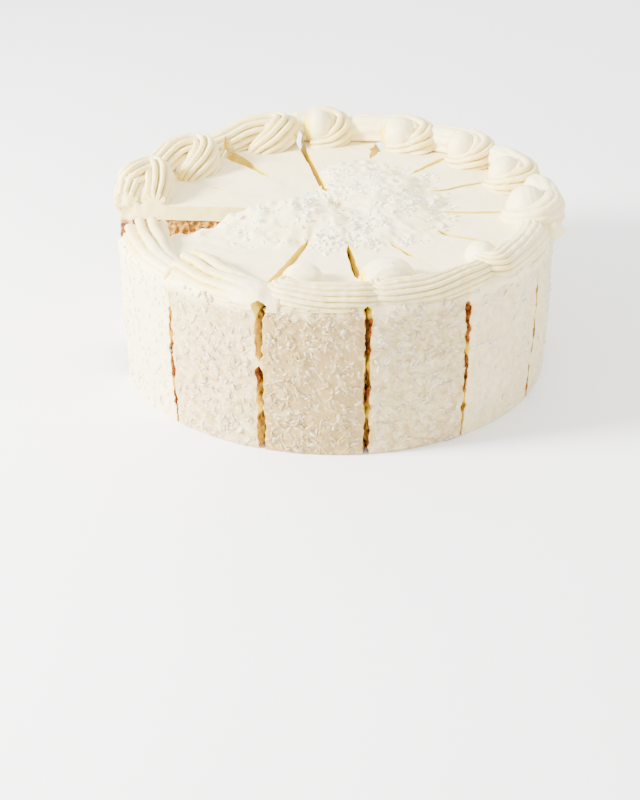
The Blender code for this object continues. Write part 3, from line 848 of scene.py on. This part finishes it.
def side_coconut(count, seed):
    """Shreds pressed into the side of the cake."""
    draw = np.random.default_rng(seed)
    centres = []
    outward = []
    painted_shades = []
    for number, (start, end) in enumerate(SPANS):
        share = round(count * SIDE_DENSITIES[number] * (end - start) / sum(SLICE_WIDTHS))
        bearing = draw.uniform(start + 0.9, end - 0.9, share)
        height = (HEIGHT - 0.0025) * draw.uniform(0.01, 1.0, share) ** 1.05
        radius = side_radius(height)
        points = round_axis(bearing, radius, height)
        lifted = radius + side_relief(points) + draw.uniform(-0.0006, 0.00012, share)
        centres.append(round_axis(bearing, lifted, height) + slice_shift(number))
        outward.append(round_axis(bearing, 1.0, 0.0))
        # Each shred takes a random part of its slice's painted shade.
        painted_shades.append(SIDE_PAINTED_SHADES[number] * draw.uniform(0.55, 1.1, share))
    centres = np.concatenate(centres)
    total = len(centres)
    return strips("coconut_side", centres, np.concatenate(outward),
                  draw.uniform(0.0018, 0.0064, total), draw.uniform(0.0009, 0.0026, total),
                  draw.uniform(0.0004, 0.0009, total), np.concatenate(painted_shades), draw)


def top_coconut(count, seed):
    """Shreds heaped on the middle of the cake."""
    draw = np.random.default_rng(seed)
    centres = []
    for number, (start, end) in enumerate(SPANS):
        share = round(count * (end - start) / sum(SLICE_WIDTHS))
        bearing = draw.uniform(start + 0.6, end - 0.6, share)
        points = round_axis(bearing, 0.01, HEIGHT)
        reach = heap_edge(points) * np.sqrt(draw.uniform(0.002, 1.10, share))
        points = round_axis(bearing, reach, HEIGHT)
        thick = noise(points, 0.016, 14) + 0.6 * noise(points, 0.007, 15)
        clear = reach * np.radians(np.minimum(bearing - start, end - bearing)) > 0.0028
        points = points[(thick > draw.uniform(-0.3, 0.5, share)) & (clear | (reach < 0.05))]
        points[:, 2] += top_relief(points) + draw.uniform(-0.0008, 0.0002, len(points))
        centres.append(points + slice_shift(number))
    centres = np.concatenate(centres)
    total = len(centres)
    return strips("coconut_top", centres, np.tile((0.0, 0.0, 1.0), (total, 1)),
                  draw.uniform(0.0022, 0.0056, total), draw.uniform(0.0010, 0.0022, total),
                  draw.uniform(0.0005, 0.0009, total), np.zeros(total), draw)


# Materials ----------------------------------------------------------------------------------


class Nodes:
    """A short way to lay out a material's nodes."""

    def __init__(self, name):
        self.material = bpy.data.materials.new(name)
        self.material.use_nodes = True
        self.tree = self.material.node_tree
        self.shader = self.tree.nodes["Principled BSDF"]

    def add(self, kind, **settings):
        node = self.tree.nodes.new(kind)
        for key, value in settings.items():
            if key in node.inputs:
                node.inputs[key].default_value = value
            else:
                setattr(node, key, value)
        return node

    def join(self, output, target):
        self.tree.links.new(output, target)

    def noise(self, size, detail=3.0, roughness=0.55):
        place = self.add("ShaderNodeTexCoord")
        node = self.add("ShaderNodeTexNoise", Scale=1 / size, Detail=detail, Roughness=roughness)
        self.join(place.outputs["Object"], node.inputs["Vector"])
        return node.outputs["Fac"]

    def spots(self, size):
        place = self.add("ShaderNodeTexCoord")
        node = self.add("ShaderNodeTexVoronoi", Scale=1 / size)
        self.join(place.outputs["Object"], node.inputs["Vector"])
        return node.outputs["Distance"]

    def attribute(self, name):
        return self.add("ShaderNodeAttribute", attribute_name=name).outputs["Fac"]

    def ramp(self, value, stops):
        node = self.add("ShaderNodeValToRGB")
        elements = node.color_ramp.elements
        while len(elements) < len(stops):
            elements.new(0.5)
        for element, (position, colour) in zip(elements, stops):
            element.position = position
            element.color = (*colour, 1.0)
        self.join(value, node.inputs["Fac"])
        return node.outputs["Color"]

    def range(self, value, low, high, to_low=0.0, to_high=1.0):
        node = self.add("ShaderNodeMapRange")
        for key, number in (("From Min", low), ("From Max", high), ("To Min", to_low),
                            ("To Max", to_high)):
            node.inputs[key].default_value = number
        self.join(value, node.inputs["Value"])
        return node.outputs["Result"]

    def mix(self, share, one, two):
        node = self.add("ShaderNodeMix", data_type="RGBA")
        for socket, value in ((node.inputs[0], share), (node.inputs[6], one), (node.inputs[7], two)):
            if isinstance(value, tuple):
                socket.default_value = (*value, 1.0)
            else:
                self.join(value, socket)
        return node.outputs[2]

    def times(self, one, two):
        node = self.add("ShaderNodeMath", operation="MULTIPLY")
        self.join(one, node.inputs[0])
        self.join(two, node.inputs[1])
        return node.outputs[0]

    def bump(self, height, distance, strength=1.0, onto=None):
        node = self.add("ShaderNodeBump", Distance=distance, Strength=strength)
        self.join(height, node.inputs["Height"])
        if onto:
            self.join(onto, node.inputs["Normal"])
        return node.outputs["Normal"]

    def finish(self, colour, roughness, normal, **settings):
        self.join(colour, self.shader.inputs["Base Color"])
        self.shader.inputs["Roughness"].default_value = roughness
        self.join(normal, self.shader.inputs["Normal"])
        for key, value in settings.items():
            self.shader.inputs[key.replace("_", " ")].default_value = value
        return self.material


def icing_material():
    nodes = Nodes("icing")
    cloud = nodes.noise(0.03, 2.0)
    base = nodes.ramp(cloud, ((0.3, (0.93, 0.80, 0.43)), (0.7, (0.95, 0.84, 0.51))))
    # Painted shade on the side and the border, mottled, darkens the cream towards brown.
    shade_mottling = nodes.range(nodes.noise(0.0042, 4.0, 0.65), 0.36, 0.64, 0.60, 1.25)
    base = nodes.mix(nodes.times(nodes.attribute("tan_and_shade"), shade_mottling), base, (0.39, 0.26, 0.085))
    # Painted shade in the hollows and creases of the cream.
    crease_shade = nodes.range(nodes.attribute("hollow"), 0.80, 1.0, 0.0, 0.5)
    colour = nodes.mix(crease_shade, base, (0.80, 0.60, 0.14))
    # Painted shade in the rope's grooves.
    colour = nodes.mix(nodes.attribute("groove_shade"), colour, (0.66, 0.52, 0.05))
    # Painted shade on the cut faces, golden as it falls inside the narrow cuts.
    colour = nodes.mix(nodes.attribute("cut"), colour, (0.86, 0.66, 0.06))
    # Smeared crumbs on the cut faces, darkened to near black by painted shade deep in the cuts.
    crumbs_and_shade_colour = nodes.ramp(nodes.noise(0.0024, 3.0, 0.65), (
        (0.36, (0.05, 0.008, 0.002)), (0.50, (0.28, 0.075, 0.012)), (0.68, (0.68, 0.33, 0.07))))
    colour = nodes.mix(nodes.attribute("crumbs_and_shade"), colour, crumbs_and_shade_colour)
    fine = nodes.bump(nodes.noise(0.0018, 4.0), 0.00025, 0.7)
    normal = nodes.bump(nodes.noise(0.006, 3.0), 0.0005, 0.6, fine)
    return nodes.finish(colour, 0.48, normal, Subsurface_Weight=0.18, Subsurface_Scale=0.0020,
                        Subsurface_Radius=(1.0, 0.85, 0.50), Specular_IOR_Level=0.35)


def coconut_material():
    nodes = Nodes("coconut")
    tone = nodes.noise(0.004, 2.0)
    colour = nodes.ramp(tone, ((0.35, (0.93, 0.84, 0.60)), (0.62, (0.96, 0.90, 0.70))))
    # Painted shade darkens the shreds on the side towards brown.
    colour = nodes.mix(nodes.attribute("tan_and_shade"), colour, (0.46, 0.31, 0.12))
    normal = nodes.bump(nodes.noise(0.0008, 3.0), 0.00012, 0.6)
    return nodes.finish(colour, 0.42, normal, Subsurface_Weight=0.35, Subsurface_Scale=0.003,
                        Subsurface_Radius=(1.0, 0.85, 0.65), Specular_IOR_Level=0.4)


def crumb_material():
    nodes = Nodes("crumb")
    tan_and_shade = nodes.ramp(nodes.noise(0.0032, 5.0, 0.65), (
        (0.30, (0.17, 0.065, 0.008)), (0.48, (0.46, 0.22, 0.025)), (0.70, (0.74, 0.47, 0.09))))
    # Painted shade in the pores of the crumb.
    pore_shade = nodes.range(nodes.attribute("hollow"), 0.5, 1.0)
    tan_and_shade = nodes.mix(pore_shade, tan_and_shade, (0.22, 0.09, 0.014))
    nut = nodes.range(nodes.spots(0.0046), 0.16, 0.24, 1.0, 0.0)
    tan_and_shade = nodes.mix(nut, tan_and_shade, (0.16, 0.065, 0.022))
    baked = nodes.ramp(nodes.noise(0.0025, 4.0), (
        (0.30, (0.14, 0.045, 0.008)), (0.55, (0.42, 0.20, 0.035)), (0.75, (0.66, 0.38, 0.08))))
    crust = nodes.range(nodes.attribute("crust"), 0.25, 0.75)
    colour = nodes.mix(crust, tan_and_shade, baked)
    fine = nodes.bump(nodes.noise(0.0009, 5.0, 0.7), 0.0004, 0.8)
    return nodes.finish(colour, 0.85, fine, Subsurface_Weight=0.1, Subsurface_Scale=0.002,
                        Specular_IOR_Level=0.2)


def floor_material():
    nodes = Nodes("pale_floor")
    tone = nodes.ramp(nodes.noise(0.4, 2.0), ((0.4, (0.90, 0.90, 0.90)), (0.6, (0.92, 0.92, 0.92))))
    normal = nodes.bump(nodes.noise(0.02, 2.0), 0.0001, 0.1)
    return nodes.finish(tone, 0.6, normal, Specular_IOR_Level=0.2)


def dress(piece, material, slot, *nodes):
    """Give a piece its material, its ride and the nodes that it stands for."""
    piece.data.materials.clear()
    piece.data.materials.append(material)
    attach(piece, "root")
    if nodes:
        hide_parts(*nodes)


# The cake -----------------------------------------------------------------------------------


def build_cake():
    icing_look = icing_material()
    crumb_look = crumb_material()
    coconut_look = coconut_material()
    for number in range(TOTAL_SLICES):
        name = label(number)
        dress(icing(number), icing_look, "cream", f"{name}_cream")
        for layer, word in enumerate(("bottom", "middle", "top")):
            dress(sponge(number, layer), crumb_look, "sponge", f"{name}_sponge_{word}")
    dress(side_coconut(SIDE_SHREDS, SIDE_SEED), coconut_look, "coconut")
    dress(top_coconut(TOP_SHREDS, TOP_SEED), coconut_look, "coconut")


# The stage ----------------------------------------------------------------------------------

CAMERA_DISTANCE = 0.984
CAMERA_ELEVATION = 27.4
LOOK_AT = Vector((-0.0086, 0.0, -0.0367))
FOCAL_LENGTH = 72.0
FRAME_HEIGHT = 36.0


def stage():
    bpy.ops.mesh.primitive_plane_add(size=6.0, location=(0, 1.0, -0.0002))
    floor = bpy.context.object
    floor.name = "floor"
    floor.data.materials.append(floor_material())


def area_light(name, place, aim, size, power, colour=(1.0, 1.0, 1.0)):
    light = bpy.data.lights.new(name, "AREA")
    light.shape = "DISK"
    light.size = size
    light.energy = power
    light.color = colour
    lamp = bpy.data.objects.new(name, light)
    lamp.location = place
    lamp.rotation_euler = (Vector(aim) - Vector(place)).to_track_quat("-Z", "Y").to_euler()
    bpy.context.scene.collection.objects.link(lamp)


def lights():
    world = bpy.data.worlds.new("studio")
    world.use_nodes = True
    backdrop = world.node_tree.nodes["Background"]
    backdrop.inputs["Color"].default_value = (1.0, 1.0, 1.0, 1.0)
    backdrop.inputs["Strength"].default_value = 2.5
    bpy.context.scene.world = world
    middle = (0.0, 0.0, 0.06)
    area_light("key", (-1.0, -0.30, 0.60), middle, 0.30, 90.0, (1.0, 0.98, 0.95))
    area_light("fill", (0.9, -0.9, 0.5), middle, 0.8, 5.0, (1.0, 0.97, 0.94))
    area_light("back", (0.2, 1.0, 0.9), middle, 0.8, 6.0)


def camera():
    lens = bpy.data.cameras.new("camera")
    lens.sensor_fit = "VERTICAL"
    lens.sensor_height = FRAME_HEIGHT
    lens.lens = FOCAL_LENGTH
    lens.clip_start = 0.01
    seen_from = math.radians(CAMERA_ELEVATION)
    place = CAMERA_DISTANCE * Vector((0.0, -math.cos(seen_from), math.sin(seen_from)))
    place = place + AXIS_PLACE
    view = bpy.data.objects.new("camera", lens)
    view.location = place
    view.rotation_euler = (LOOK_AT + AXIS_PLACE - place).to_track_quat("-Z", "Y").to_euler()
    bpy.context.scene.collection.objects.link(view)
    bpy.context.scene.camera = view


build_cake()
stage()
lights()
camera()
